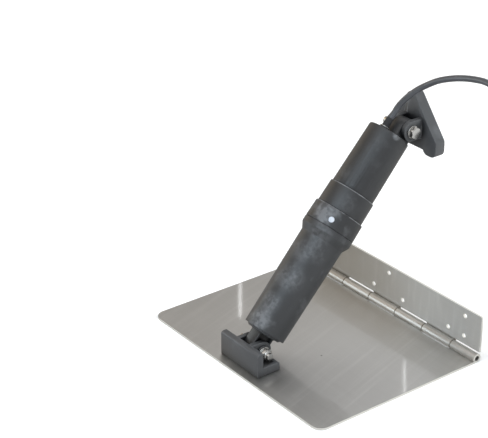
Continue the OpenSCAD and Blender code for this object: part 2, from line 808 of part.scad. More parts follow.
// Black motor housing: skirt, tapered shell, closed top with rounded edge and an eye behind the axis
module upper_housing() {
    top_r = housing_d1 / 2;
    shell_r = skirt_d / 2;
    color([0.19, 0.19, 0.20]) on_actuator() difference() {
        union() {
            rotate_extrude() difference() {
                union() {
                    polygon([
                        [0, joint_s], [shell_r, joint_s], [shell_r, ring_s], [housing_d0 / 2, ring_s],
                        [top_r, top_s - top_round], [0, top_s - top_round]]);
                    translate([0, top_s - top_round - lap]) square([top_r - top_round, top_round + lap]);
                    translate([top_r - top_round, top_s - top_round]) circle(top_round);
                }
                translate([-1, joint_s - 1]) square([motor_bore / 2 + 1, cavity_top - joint_s + 1]);
                translate([seal_mid_r - seal_wire, seal_s - seal_half_groove])
                    square([shell_r, 2 * seal_half_groove]);
                translate([-top_round * 2, joint_s]) square([top_round * 2, top_s]);
            }
            along_x(eye_shift - eye_t / 2, eye_shift + eye_t / 2) {
                translate([eye_offset, eye_s]) circle(eye_r);
                translate([eye_offset - eye_r, top_s - top_round]) square([2 * eye_r, eye_rise + top_round]);
            }
        }
        rod_x(-2 * eye_t, 2 * eye_t, eye_offset, eye_s, bush_r + seat_clear);
        translate([0, -gland_offset, cavity_top - 1]) cylinder(h = top_t + 2, r = gland_stem_r + seat_clear);
    }
}

// Rubber ring between the housing's skirt and the collar
module housing_seal() {
    color([0.08, 0.08, 0.08]) on_actuator()
        rotate_extrude() translate([seal_mid_r, seal_s]) circle(seal_wire);
}

// Bearing cartridge that carries the leadscrew
module screw_bearing() {
    color([0.60, 0.60, 0.60]) on_actuator()
        turned_ring(bearing_s, bearing_top, screw_r + run_clear, bearing_r - seat_clear);
}

// Gearbox with a socket for the coupling's stub
module gearbox() {
    color([0.50, 0.50, 0.52]) on_actuator() difference() {
        translate([0, 0, gearbox_s]) cylinder(h = gearbox_l, r = motor_r);
        translate([0, 0, gearbox_s - 1]) cylinder(h = stub_l + 2, r = stub_r + run_clear);
    }
}

// Permanent magnet motor, a closed can with a narrower brush end
module motor() {
    color([0.45, 0.45, 0.47]) on_actuator() {
        translate([0, 0, motor_s]) cylinder(h = motor_can_l, r = motor_r);
        translate([0, 0, motor_s]) cylinder(h = damper_s - motor_s, r = brush_end_r);
    }
}

// Rubber ring between motor and closed top
module motor_damper() {
    color([0.10, 0.10, 0.10]) on_actuator() turned_ring(damper_s, cavity_top, motor_r / 2, motor_r);
}

// Bronze sleeve in the housing's eye
module upper_pivot_bush() {
    color([0.62, 0.47, 0.25]) on_actuator() translate([eye_shift, eye_offset, eye_s]) eye_bush(eye_t);
}

// Drive

// Leadscrew: plain core, thrust shoulder above its bearing and a neck for the coupling
module leadscrew() {
    color([0.70, 0.70, 0.70]) on_actuator() {
        translate([0, 0, screw_tip]) cylinder(h = thrust_top - screw_tip, r = screw_r);
        translate([0, 0, thrust_top - thrust_t]) cylinder(h = thrust_t, r = thrust_r);
        translate([0, 0, thrust_top - 1]) cylinder(h = neck_l + 1, r = neck_r);
    }
}

// Coupling between the screw's neck and the gearbox
module screw_coupler() {
    color([0.58, 0.58, 0.60]) on_actuator() difference() {
        union() {
            translate([0, 0, thrust_top + end_play]) cylinder(h = coupler_l, r = coupler_d / 2);
            translate([0, 0, coupler_top - 1]) cylinder(h = stub_l + 1, r = stub_r);
        }
        translate([0, 0, thrust_top - 1]) cylinder(h = neck_l + 1 + 2 * end_play, r = neck_r + seat_clear);
    }
}

// Upper bracket and its fasteners

module flange_outline() {
    difference() {
        outline([
            [0, apex_h - lobe_r, lobe_r],
            [lobe_r - half_w, -shoulder_drop, lobe_r], [lobe_r - half_w, lobe_r - foot_drop, lobe_r],
            [half_w - lobe_r, lobe_r - foot_drop, lobe_r], [half_w - lobe_r, -shoulder_drop, lobe_r]]);
        translate([-foot_x, -foot_drop - 1]) square([2 * foot_x, notch_h + 1]);
    }
    for (side = [-1, 1]) translate([side * foot_x, lobe_r - foot_drop]) circle(lobe_r);
}

// Two hollows in the flange's back, beside a middle rib and clear of the screw holes
module flange_cores() {
    inset = lobe_r - core_wall;
    low = notch_h + core_wall - foot_drop;
    tip = apex_h - lobe_r - core_tip_drop;
    difference() {
        for (side = [-1, 1])
            outline(side < 0
                ? [[-inset, tip, inset / 2], [lobe_r - half_w, -shoulder_drop, inset],
                   [lobe_r - half_w, low + inset, inset], [-inset, low + inset, inset / 2]]
                : [[inset, low + inset, inset / 2], [half_w - lobe_r, low + inset, inset],
                   [half_w - lobe_r, -shoulder_drop, inset], [inset, tip, inset / 2]]);
        for (h = flange_holes) translate(h) circle(boss_r);
    }
}

// Black three-cornered bracket with two ears for the housing's eye
module upper_bracket() {
    color([0.21, 0.21, 0.22]) difference() {
        union() {
            along_y(flange_front, flange_rear) translate([0, upper_z]) flange_outline();
            for (from = [eye_shift - upper_ear_out, eye_shift + upper_ear_in])
                along_x(from, from + upper_ear_t) {
                    translate([upper_y, upper_z]) circle(upper_ear_r);
                    translate([upper_y, upper_z - upper_ear_r]) square([flange_back + 1, 2 * upper_ear_r]);
                }
        }
        along_y(flange_front + core_skin, flange_rear + 1) translate([0, upper_z]) flange_cores();
        rod_x(-flange_w, flange_w, upper_y, upper_z, bolt_r + bolt_clear);
        for (h = flange_holes)
            along_y(flange_rear - flange_hole_deep, flange_rear + 1)
                translate([h.x, upper_z + h.y]) circle(flange_hole_d / 2);
    }
}

// Stainless hex bolt through the upper clevis, its head on the near side
module upper_pivot_bolt() {
    color([0.80, 0.79, 0.76]) translate([eye_shift + upper_ear_out + washer_t, upper_y, upper_z])
        mirror([1, 0, 0]) hex_bolt();
}

module upper_pivot_nut() {
    color([0.80, 0.79, 0.76]) translate([eye_shift - upper_ear_out - washer_t, upper_y, upper_z])
        mirror([1, 0, 0]) lock_nut();
}

module upper_pivot_washers() {
    color([0.80, 0.79, 0.76]) translate([eye_shift, upper_y, upper_z]) washer_pair(upper_ear_out);
}

// Cable

// Black gland: a stem through the housing's top, a foot and a tapered boot
module cable_gland() {
    color([0.09, 0.09, 0.10]) on_actuator() translate([0, -gland_offset, 0]) {
        translate([0, 0, cavity_top]) cylinder(h = top_t + 0.5, r = gland_stem_r);
        translate([0, 0, top_s]) cylinder(h = gland_foot_t, r = gland_d / 2);
        translate([0, 0, top_s + gland_foot_t - 0.5])
            cylinder(h = gland_h - gland_foot_t + 0.5, r1 = gland_stem_r, r2 = gland_tip_r);
    }
}

// Thin stainless clip round the gland's boot
module gland_clip() {
    color([0.82, 0.80, 0.76]) on_actuator()
        translate([0, -gland_offset, top_s + gland_foot_t + clip_wire / 2]) rotate_extrude()
            translate([gland_stem_r + clip_wire / 2 + seat_clear, 0]) circle(clip_wire / 2, $fn = 24);
}

// Smooth curve through the route's points, as rings of equal sides
route = concat([gland_mouth], cable_route);
function route_at(i) = route[max(0, min(len(route) - 1, i))];
function curve_point(i, t) =
    let (a = route_at(i - 1), b = route_at(i), c = route_at(i + 1), d = route_at(i + 2))
    b + t * (c - a) / 2 + t * t * (2 * a - 5 * b + 4 * c - d) / 2 + t * t * t * (3 * b - a - 3 * c + d) / 2;
curve_spots = [for (i = [0 : len(route) - 2], k = [0 : cable_steps - 1]) curve_point(i, k / cable_steps)];
curve = concat(curve_spots, [route[len(route) - 1]]);
function curve_heading(i) =
    i == 0 ? [0, axis_y, axis_z]
    : i == len(curve) - 1 ? [0, 1, 0]
    : let (d = curve[i + 1] - curve[i - 1]) d / norm(d);
side_hint = [-0.5, 0.7, -0.5];
function curve_ring(i) =
    let (t = curve_heading(i), c = cross(t, side_hint), u = c / norm(c), v = cross(t, u))
    [for (k = [0 : cable_sides - 1])
        curve[i] + cable_d / 2 * (cos(360 * k / cable_sides) * u + sin(360 * k / cable_sides) * v)];

// Black cable from the gland to the coil
module cable() {
    last = len(curve) - 1;
    color([0.10, 0.10, 0.11]) polyhedron(
        points = [for (i = [0 : last]) each curve_ring(i)],
        faces = concat(
            [[for (k = [0 : cable_sides - 1]) k]],
            [for (i = [0 : last - 1], k = [0 : cable_sides - 1])
                let (n = (k + 1) % cable_sides, a = i * cable_sides)
                [a + k, a + cable_sides + k, a + cable_sides + n, a + n]],
            [[for (k = [cable_sides - 1 : -1 : 0]) last * cable_sides + k]]));
}

// Outer shape of the wound length, with the straight tail that ends at the connector
module cable_coil() {
    color([0.10, 0.10, 0.11]) {
        translate([coil_x, coil_y, coil_z])
            rotate_extrude() translate([coil_in, 0]) square([coil_out - coil_in, coil_top - coil_z]);
        translate([connector_x, coil_y, coil_z + cable_d / 2])
            rotate([90, 0, 0]) cylinder(h = coil_y - connector_y, r = cable_d / 2);
    }
}

// Two ties that hold the coil together
module coil_ties() {
    color([0.12, 0.12, 0.12]) for (a = [tie_angle, tie_angle + 180])
        translate([coil_x, coil_y, 0]) rotate([0, 0, a]) difference() {
            translate([coil_in - tie_t, -tie_w / 2, floor_z])
                cube([coil_out - coil_in + 2 * tie_t, tie_w, coil_top - floor_z + tie_t]);
            turned_ring(coil_z, coil_top, coil_in, coil_out);
        }
}

// Two-pole connector that lies beside the coil
module cable_connector() {
    axis_h = coil_z + cable_d / 2;
    color([0.11, 0.11, 0.12]) translate([connector_x, connector_y, axis_h]) rotate([90, 0, 0]) difference() {
        union() {
            cylinder(h = connector_boot_l + 1, r1 = gland_tip_r, r2 = axis_h - floor_z);
            translate([-connector_w / 2, floor_z - axis_h, connector_boot_l])
                cube([connector_w, connector_h, connector_l]);
            translate([-connector_w / 4, floor_z - axis_h + connector_h - 1, connector_boot_l + connector_l / 3])
                cube([connector_w / 2, latch_h + 1, connector_l / 3]);
        }
        for (side = [-1, 1])
            translate([side * connector_w / 4, 0, connector_boot_l + connector_l - socket_deep])
                cylinder(h = socket_deep + 1, r = socket_r);
    }
}

tab_plate();
hinge_pin();
lower_bracket();
bracket_screws();
lower_pivot_bolt();
lower_pivot_nut();
lower_pivot_washers();
transom_leaf();
ram_end();
lower_pivot_bush();
ram_tube();
drive_nut();
lower_tube();
tube_end_cap();
wiper_seal();
guide_bush();
collar();
collar_plug();
lock_ring();
upper_housing();
housing_seal();
screw_bearing();
gearbox();
motor();
motor_damper();
upper_pivot_bush();
cable_gland();
gland_clip();
cable();
cable_coil();
coil_ties();
cable_connector();
leadscrew();
screw_coupler();
upper_bracket();
upper_pivot_bolt();
upper_pivot_nut();
upper_pivot_washers();
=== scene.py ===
import json
from math import cos, pi, radians, sin

import bmesh
import bpy
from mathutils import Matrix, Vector

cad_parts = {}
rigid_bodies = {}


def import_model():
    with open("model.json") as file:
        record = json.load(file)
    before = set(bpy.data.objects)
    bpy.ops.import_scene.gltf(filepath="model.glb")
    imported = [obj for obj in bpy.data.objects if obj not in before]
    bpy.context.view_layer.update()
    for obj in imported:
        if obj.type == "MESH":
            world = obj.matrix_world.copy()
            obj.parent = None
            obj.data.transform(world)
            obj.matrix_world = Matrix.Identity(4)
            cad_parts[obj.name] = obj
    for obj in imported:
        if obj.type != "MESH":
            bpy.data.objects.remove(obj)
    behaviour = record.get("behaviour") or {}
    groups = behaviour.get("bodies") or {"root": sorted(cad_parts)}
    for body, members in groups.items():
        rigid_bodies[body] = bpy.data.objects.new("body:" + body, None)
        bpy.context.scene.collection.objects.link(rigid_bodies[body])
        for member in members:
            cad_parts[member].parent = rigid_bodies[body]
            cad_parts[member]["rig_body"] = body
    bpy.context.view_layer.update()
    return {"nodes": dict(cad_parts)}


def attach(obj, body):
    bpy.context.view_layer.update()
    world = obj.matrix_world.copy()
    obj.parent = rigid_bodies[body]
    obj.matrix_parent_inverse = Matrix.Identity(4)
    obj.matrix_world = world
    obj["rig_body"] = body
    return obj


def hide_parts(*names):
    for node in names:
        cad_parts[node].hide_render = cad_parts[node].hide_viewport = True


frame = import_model()
nodes = frame["nodes"]

# Camera
# The photograph looks down on the tab from its front right, from about two metres away.
# Place and lens come from a fit to the plate's corners and the leaf's screw holes.
SENSOR_WIDTH = 36.0
LENS = 116.57
CAMERA_PLACE = (1.1967, -1.12865, 0.9124)
CAMERA_VIEW = Vector((-0.7117, 0.5422, -0.4468))
camera_data = bpy.data.cameras.new("camera")
camera_data.sensor_fit = "HORIZONTAL"
camera_data.sensor_width = SENSOR_WIDTH
camera_data.lens = LENS
camera = bpy.data.objects.new("camera", camera_data)
camera.location = CAMERA_PLACE
camera.rotation_euler = CAMERA_VIEW.to_track_quat("-Z", "Y").to_euler()
bpy.context.scene.collection.objects.link(camera)
bpy.context.scene.camera = camera


# Tab plate
# A flat satin stainless sheet with rounded trailing corners, rolled into knuckles along the hinge.
# Its sheared edges are painted pale as a painted highlight, its far end and the joints between its knuckles
# get painted shade, and faint mill marks and small specks show on its faces.
MM = 0.001
STEEL_DARK = (0.51, 0.503, 0.484, 1)
STEEL_LIGHT = (0.655, 0.648, 0.63, 1)
STEEL_SHADED = (0.30, 0.275, 0.24, 1)
EDGE_PAINTED_HIGHLIGHT = (0.72, 0.70, 0.65, 1)
SPECK_DARK = (0.10, 0.095, 0.085, 1)
SPECK_SCALE = 26.0
SWIRL_TURN = radians(73)
BARREL_FOOT = (-19.5, -19.0)
BARREL_TOP = (-10.5, -9.5)
END_ZONE = (149.0, 150.5)
BLOOM_SPAN = (-100.0, 80.0)
SHADE_SPAN = (-100.0, 60.0)
KNUCKLE_PITCH = 46.4
KNUCKLE_END = 20.8
KNUCKLE_GAP = (0.4, 1.1)


class Field:
    """A shader socket with arithmetic, so that a material reads as a formula."""

    def __init__(self, tree, out=None):
        self.tree = tree
        self.out = out

    def node(self, kind, settings, values, output=0):
        made = self.tree.nodes.new("ShaderNode" + kind)
        for name, value in settings.items():
            setattr(made, name, value)
        for name, value in values.items():
            if isinstance(value, Field):
                self.tree.links.new(value.out, made.inputs[name])
            else:
                made.inputs[name].default_value = value
        return Field(self.tree, made.outputs[output])

    def math(self, operation, *values):
        return self.node("Math", {"operation": operation}, dict(enumerate(values)))

    def __add__(self, other):
        return self.math("ADD", self, other)

    def __radd__(self, other):
        return self.math("ADD", other, self)

    def __sub__(self, other):
        return self.math("SUBTRACT", self, other)

    def __rsub__(self, other):
        return self.math("SUBTRACT", other, self)

    def __mul__(self, other):
        return self.math("MULTIPLY", self, other)

    def __rmul__(self, other):
        return self.math("MULTIPLY", other, self)

    def __abs__(self):
        return self.math("ABSOLUTE", self)


def new_look(name, constants):
    """A material, its surface shader and a field of the piece's own coordinates."""
    material = bpy.data.materials.new(name)
    material.use_nodes = True
    surface = material.node_tree.nodes["Principled BSDF"]
    for socket, value in constants.items():
        surface.inputs[socket].default_value = value
    spot = Field(material.node_tree).node("TexCoord", {}, {}, "Object")
    return material, surface, spot


def feed(surface, fields):
    for socket, field in fields.items():
        field.tree.links.new(field.out, surface.inputs[socket])


def coordinate(field, axis):
    return field.node("SeparateXYZ", {}, {0: field}, axis)


def noise(spot, scale, detail=2.0, stretch=None):
    """Cloudy noise; scale is its waves to the metre, or stretch gives them for each axis."""
    if stretch:
        spot = spot.node("VectorMath", {"operation": "MULTIPLY"}, {0: spot, 1: stretch})
    return spot.node("TexNoise", {}, {"Vector": spot, "Scale": scale, "Detail": detail})


def ease(field, low, high):
    """0 below low, 1 above high, smooth in between."""
    limits = {"Value": field, "From Min": low, "From Max": high}
    return field.node("MapRange", {"interpolation_type": "SMOOTHSTEP"}, limits)


def ease_mm(field, low, high):
    """The same for a length, with both limits in mm."""
    return ease(field, low * MM, high * MM)


def blend(share, first, second):
    """A colour between two others."""
    return share.node("Mix", {"data_type": "RGBA"}, {0: share, 6: first, 7: second}, 2)


def bump(height, strength, distance):
    return height.node("Bump", {}, {"Strength": strength, "Distance": distance, "Height": height})


def sheet_steel(name, face_axis, bloom, shade):
    """Rolled stainless sheet; its broad faces look along face_axis.

    Bloom is how milky it is above the hinge, and shade how far painted shade darkens it towards the far
    end; the joints between the knuckles always get painted shade.
    """
    material, surface, spot = new_look(name, {"Coat Roughness": 0.04})
    cloud = noise(spot, 7, 3)
    streak = noise(spot, 1, 3, (5, 420, 420))
    hair = noise(spot, 1, 2, (30, 2600, 2600))
    facing = spot.node("TexCoord", {}, {}, "Normal")
    broad = abs(coordinate(facing, face_axis))
    height = coordinate(spot, "Z")
    beside = coordinate(spot, "X")
    outer = ease_mm(abs(beside), *END_ZONE)
    barrel = ease_mm(height, *BARREL_FOOT) * (1 - ease_mm(height, *BARREL_TOP))
    endwise = ease(abs(coordinate(facing, "X")), 0.90, 0.97) * outer
    sheared = (1 - ease(broad, 0.03, 0.10)) * (1 - barrel)
    edge = sheared.math("MAXIMUM", sheared, endwise)
    swept = spot.node("VectorRotate", {"rotation_type": "Z_AXIS"}, {"Vector": spot, "Angle": SWIRL_TURN})
    swirl = ease(noise(swept, 1, 4, (7, 150, 20)), 0.48, 0.75)
    milky = ease_mm(height, *BARREL_TOP) * ease_mm(beside, *BLOOM_SPAN) * bloom
    dots = spot.node("TexVoronoi", {}, {"Vector": spot, "Scale": SPECK_SCALE}, "Distance")
    picked = ease(noise(spot, SPECK_SCALE, 0), 0.53, 0.57)
    speck = (1 - ease(dots, 0.020, 0.034)) * picked
    mill = blend(0.5 * cloud + 0.35 * streak + 0.35 * swirl, STEEL_DARK, STEEL_LIGHT)
    # Painted shade at the joints between the knuckles and towards the far end.
    joint = beside.math("PINGPONG", beside - KNUCKLE_END * MM, KNUCKLE_PITCH / 2 * MM)
    knuckle_shade = (1 - ease_mm(joint, *KNUCKLE_GAP)) * barrel * (1 - outer)
    tone = blend(knuckle_shade * 0.85 + shade * (1 - ease_mm(beside, *SHADE_SPAN)), mill, STEEL_SHADED)
    # The sheared edges are painted pale, as a painted highlight.
    edge_highlight = blend(edge, tone, EDGE_PAINTED_HIGHLIGHT)
    feed(surface, {
        "Base Color": blend(speck * 0.8, edge_highlight, SPECK_DARK),
        "Metallic": 1 - 0.6 * edge - milky,
        "Roughness": 0.32 + 0.08 * cloud + 0.06 * streak + 0.05 * swirl + 0.15 * edge + 0.02 * barrel,
        "Coat Weight": 1 - barrel,
        "Normal": bump(streak * 0.6 + hair * 0.4, 0.025, 0.0003),
    })
    return material


def paint(piece, material):
    if piece.material_slots:
        for slot in piece.material_slots:
            slot.material = material
    else:
        piece.data.materials.append(material)


plate_look = sheet_steel("plate_steel", "Z", bloom=0.0, shade=0.32)
paint(nodes["tab_plate"], plate_look)

# Hinge pin
# A drawn stainless rod runs through all the knuckles.
# Only its two ends show, in the shade just inside the barrel.
ROD_DARK = (0.52, 0.51, 0.49, 1)
ROD_LIGHT = (0.72, 0.71, 0.69, 1)
ROD_SHADE = (0.05, 0.045, 0.04, 1)
ROD_END_ZONE = (147.0, 148.0)
rod_look, rod_surface, rod_spot = new_look("drawn_steel", {"Metallic": 1.0})
rod_rings = noise(rod_spot, 1, 2, (4, 1500, 1500))
# The rod's two ends are painted dark, as painted shade from the barrel.
rod_end = ease_mm(abs(coordinate(rod_spot, "X")), *ROD_END_ZONE)
feed(rod_surface, {
    "Base Color": blend(rod_end, blend(rod_rings, ROD_DARK, ROD_LIGHT), ROD_SHADE),
    "Roughness": 0.22 + 0.14 * rod_rings,
})
paint(nodes["hinge_pin"], rod_look)

# Transom leaf
# The upright half of the hinge, from the same stainless sheet, rolled round the same pin.
# Screws through its two rows of holes fix it to the transom.
# The leaf gets more painted shade towards its far end than the plate.
leaf_look = sheet_steel("leaf_steel", "Y", bloom=0.50, shade=0.55)
paint(nodes["transom_leaf"], leaf_look)


# Lower bracket
# A black moulded clevis with a tall front wall, screwed to the plate near the trailing edge.
# Its edges are softly rounded and painted pale, part rubbed wear and part painted highlight, its hollows
# and gaps get painted shade, and its faces have a faint cloudy bloom.
PIVOT_Y = -202.15
PIVOT_Z = -2.6
LEAN = radians(47.7)
BLACK_DEEP = (0.017, 0.017, 0.018, 1)
BLACK_LIGHT = (0.034, 0.035, 0.037, 1)
SCUFF_AND_SHEEN_GREY = (0.150, 0.154, 0.163, 1)
WEAR_AND_HIGHLIGHT_GREY = (0.200, 0.204, 0.212, 1)
PAINTED_SHADE_BLACK = (0.003, 0.003, 0.003, 1)
RIM_WIDTH = (0.4, 0.9)
EDGE_BAND = 1.3
PAINTED_SHADE_REACH = 22.0
SHADE_RAYS = 8
SHORTEST_EDGE = 0.15
SAME_POINT = 0.002
FLAT_ANGLE = radians(0.4)


def moulding(name, scuffs=0.5, shine=0.42, fade=0.0, rubs_and_sheen=(), highlight_rims=(), edge_wear_and_highlight=0.0):
    """Black glass-filled moulding: cloudy tone, fine grain and pale rubbed patches.

    The pale clouds are (place, radius, amount) in mm, part rubbed film and part painted sheen; rims are
    painted highlights along edges at stations of the actuator;
    the edge setting is how pale all the other edges are painted, part rubbed wear and part painted
    highlight, and it also darkens hollows and gaps with painted shade.
    """
    material, surface, spot = new_look(name, {"Specular IOR Level": 0.5})
    cloud = noise(spot, 22, 4)
    patch = noise(spot, 48, 5)
    rub = ease(patch, 0.55, 0.78) * scuffs
    hair = ease(noise(spot, 1, 2, (90, 700, 140)), 0.70, 0.80) * scuffs
    grain = noise(spot, 1400, 2)
    ragged = 0.3 + 0.7 * ease(0.35 * noise(spot, 45, 3) + 0.65 * noise(spot, 210, 6), 0.40, 0.62)
    pale = rub * 0.7 + hair * 0.2 + fade
    # Pale clouds, part rubbed film and part painted sheen on the lit side.
    for place, radius, amount in rubs_and_sheen:
        away = spot.node("VectorMath", {"operation": "DISTANCE"}, {0: spot, 1: tuple(place * MM)}, "Value")
        pale = pale + (1 - ease_mm(away, 0.25 * radius, radius)) * ragged * amount
    tone = blend(pale, blend(cloud, BLACK_DEEP, BLACK_LIGHT), SCUFF_AND_SHEEN_GREY)
    axis = (0, cos(LEAN), sin(LEAN))
    along = spot.node("VectorMath", {"operation": "DOT_PRODUCT"}, {0: spot, 1: axis}, "Value")
    # Painted highlights along the rims at the given stations.
    for rim in highlight_rims:
        station = (rim + PIVOT_Y * cos(LEAN) + PIVOT_Z * sin(LEAN)) * MM
        edge_highlight = (1 - ease_mm(abs(along - station), *RIM_WIDTH)) * ease(patch, 0.35, 0.55)
        tone = blend(edge_highlight, tone, WEAR_AND_HIGHLIGHT_GREY)
    if edge_wear_and_highlight:
        # Edges painted pale, part rubbed wear and part painted highlight.
        inward = {"samples": SHADE_RAYS, "inside": True}
        depth = spot.node("AmbientOcclusion", inward, {"Distance": EDGE_BAND * MM}, "AO")
        tone = blend((1 - ease(depth, 0.45, 0.90)) * ease(patch, 0.30, 0.60) * edge_wear_and_highlight, tone, WEAR_AND_HIGHLIGHT_GREY)
        # Painted shade darkens hollows and gaps, where the surface sees little open air.
        air = spot.node("AmbientOcclusion", {"samples": SHADE_RAYS}, {"Distance": PAINTED_SHADE_REACH * MM}, "AO")
        tone = blend((1 - ease(air, 0.25, 0.82)) * 0.9, tone, PAINTED_SHADE_BLACK)
    feed(surface, {
        "Base Color": tone,
        "Roughness": shine + 0.18 * (cloud - 0.5) + 0.16 * rub,
        "Normal": bump(grain * 0.7 + cloud * 0.3, 0.10, 0.0003),
    })
    return material


def shown(piece):
    bpy.context.scene.collection.objects.link(piece)
    return piece


def rounded(node, width, steps=2, angle=30):
    """A copy of a CAD node with its outer edges rounded, which stands for the node."""
    form = bmesh.new()
    form.from_mesh(nodes[node].data)
    bmesh.ops.remove_doubles(form, verts=form.verts, dist=SAME_POINT * MM)
    bmesh.ops.dissolve_limit(form, angle_limit=FLAT_ANGLE, verts=form.verts, edges=form.edges)
    bmesh.ops.remove_doubles(form, verts=form.verts, dist=SHORTEST_EDGE * MM)
    weight = form.edges.layers.float.new("bevel_weight_edge")
    for face in form.faces:
        face.smooth = True
    for edge in form.edges:
        bend = edge.calc_face_angle_signed(0.0)
        edge[weight] = 1.0 if bend > radians(angle) else 0.0
        edge.smooth = bend > -radians(angle)
    mesh = bpy.data.meshes.new(node + "_skin")
    form.to_mesh(mesh)
    form.free()
    piece = shown(bpy.data.objects.new(node + "_skin", mesh))
    edges = piece.modifiers.new("edges", "BEVEL")
    edges.width = width * MM
    edges.segments = steps
    edges.limit_method = "WEIGHT"
    edges.use_clamp_overlap = False
    edges.loop_slide = False
    edges.harden_normals = True
    graph = bpy.context.evaluated_depsgraph_get()
    finished = bpy.data.meshes.new_from_object(piece.evaluated_get(graph), depsgraph=graph)
    piece.modifiers.clear()
    piece.data = finished
    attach(piece, nodes[node]["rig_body"])
    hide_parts(node)
    return piece


bracket_look = moulding("bracket_moulding", scuffs=0.35, shine=0.40, fade=0.34, edge_wear_and_highlight=0.9)
lower_bracket = rounded("lower_bracket", width=0.7, steps=3)
paint(lower_bracket, bracket_look)

# Bracket screws
# Four flush stainless screws come up through the plate into the bracket.
# They show only from underneath.
BRIGHT_DARK = (0.48, 0.47, 0.45, 1)
BRIGHT_LIGHT = (0.60, 0.59, 0.57, 1)
bright_look, bright_surface, bright_spot = new_look("bright_steel", {"Metallic": 1.0})
bright_cloud = noise(bright_spot, 90, 3)
bright_lines = noise(bright_spot, 1, 2, (300, 2400, 500))
feed(bright_surface, {
    "Base Color": blend(bright_cloud, BRIGHT_DARK, BRIGHT_LIGHT),
    "Roughness": 0.17 + 0.10 * bright_cloud + 0.08 * bright_lines,
    "Normal": bump(bright_lines, 0.05, 0.0002),
})
paint(nodes["bracket_screws"], bright_look)

# Lower pivot bolt, nut and washers
# A bright stainless hex bolt crosses the clevis, with its lock nut on the near side.
# The flats are brushed and the corners catch the light.
FASTENER_EDGE = 0.25
for fastener in ("lower_pivot_bolt", "lower_pivot_nut", "lower_pivot_washers"):
    piece = rounded(fastener, width=FASTENER_EDGE)
    paint(piece, bright_look)

# Ram end
# The ram's black moulded tongue, held by the lower bolt, with ribbed sides round hollow pockets.
# Its rib edges are painted pale, part rubbed wear and part painted highlight, and its recesses get painted
# shade.
tongue_look = moulding("tongue_moulding", scuffs=0.2, shine=0.38, edge_wear_and_highlight=0.45)
ram_end = rounded("ram_end", width=0.5)
paint(ram_end, tongue_look)

# Pivot bushes and drive nut
# Bronze sleeves line both eyes, and a bronze nut rides on the leadscrew inside the ram.
# Only the ends of the sleeves could ever show.
BRONZE_DARK = (0.40, 0.25, 0.10, 1)
BRONZE_LIGHT = (0.60, 0.42, 0.19, 1)
bronze_look, bronze_surface, bronze_spot = new_look("bronze", {"Metallic": 1.0})
bronze_cloud = noise(bronze_spot, 70, 3)
feed(bronze_surface, {
    "Base Color": blend(bronze_cloud, BRONZE_DARK, BRONZE_LIGHT),
    "Roughness": 0.28 + 0.2 * bronze_cloud,
})
for sleeve in ("lower_pivot_bush", "upper_pivot_bush", "drive_nut"):
    paint(nodes[sleeve], bronze_look)

# Ram tube and leadscrew
# Ground stainless pieces inside the lower tube: the tube slides out and the screw turns.
# Fine rings from grinding run round the axis.
GROUND_DARK = (0.60, 0.60, 0.59, 1)
GROUND_LIGHT = (0.76, 0.76, 0.75, 1)
ground_look, ground_surface, ground_spot = new_look("ground_steel", {"Metallic": 1.0})
ground_rings = noise(ground_spot, 1, 2, (150, 1200, 1200))
feed(ground_surface, {
    "Base Color": blend(ground_rings, GROUND_DARK, GROUND_LIGHT),
    "Roughness": 0.14 + 0.12 * ground_rings,
})
for rod in ("ram_tube", "leadscrew", "screw_coupler", "screw_bearing"):
    paint(nodes[rod], ground_look)


# Lower tube
# The long tapered tube, a black moulding that flares into a flange under the collar.
# Pale clouds show on its flanks and on the flange's rim, part rubbed patches and part painted sheen.
TURN_STEPS = 160
TURNED_EDGE = 0.7
TUBE_PROFILE = (
    (21.0, 20.0), (24.9, 20.0), (26.2, 140.5), (30.6, 148.5),
    (30.6, 155.5), (24.8, 155.5), (24.8, 150.0), (21.0, 150.0),
)


def at_actuator(x, back, along):
    """Frame coordinates, in mm, of a point given in the actuator's own frame."""
    return Vector((
        x,
        PIVOT_Y + along * cos(LEAN) + back * sin(LEAN),
        PIVOT_Z + along * sin(LEAN) - back * cos(LEAN)))


def eased(profile, radius, steps=4):
    """A closed outline with every corner rounded, or less where its sides are short."""
    result = []
    count = len(profile)
    for i, corner in enumerate(profile):
        corner = Vector(corner)
        before = Vector(profile[i - 1]) - corner
        after = Vector(profile[(i + 1) % count]) - corner
        cut = min(radius, before.length * 0.45, after.length * 0.45)
        start = corner + before.normalized() * cut
        end = corner + after.normalized() * cut
        for k in range(steps + 1):
            t = k / steps
            result.append(start * (1 - t) ** 2 + corner * 2 * t * (1 - t) + end * t * t)
    return result


def turned(node, profile, radius):
    """A piece turned about the actuator's axis, which stands for a node.

    Its outline is a list of radius and station, and its corners get the given rounding.
    """
    outline = eased(profile, radius)
    count = len(outline)
    form = bmesh.new()
    rings = []
    for k in range(TURN_STEPS):
        a = 2 * pi * k / TURN_STEPS
        rings.append([form.verts.new(at_actuator(p.x * sin(a), -p.x * cos(a), p.y) * MM) for p in outline])
    for k in range(TURN_STEPS):
        near = rings[k]
        far = rings[(k + 1) % TURN_STEPS]
        for i in range(count):
            j = (i + 1) % count
            form.faces.new((near[i], far[i], far[j], near[j]))
    bmesh.ops.recalc_face_normals(form, faces=form.faces)
    mesh = bpy.data.meshes.new(node + "_skin")
    form.to_mesh(mesh)
    form.free()
    for face in mesh.polygons:
        face.use_smooth = True
    piece = shown(bpy.data.objects.new(node + "_skin", mesh))
    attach(piece, nodes[node]["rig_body"])
    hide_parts(node)
    return piece


def on_tube(angle, radius, along):
    """A point on a round piece of the actuator; the angle runs from its upper side to the right."""
    return at_actuator(radius * sin(radians(angle)), -radius * cos(radians(angle)), along)


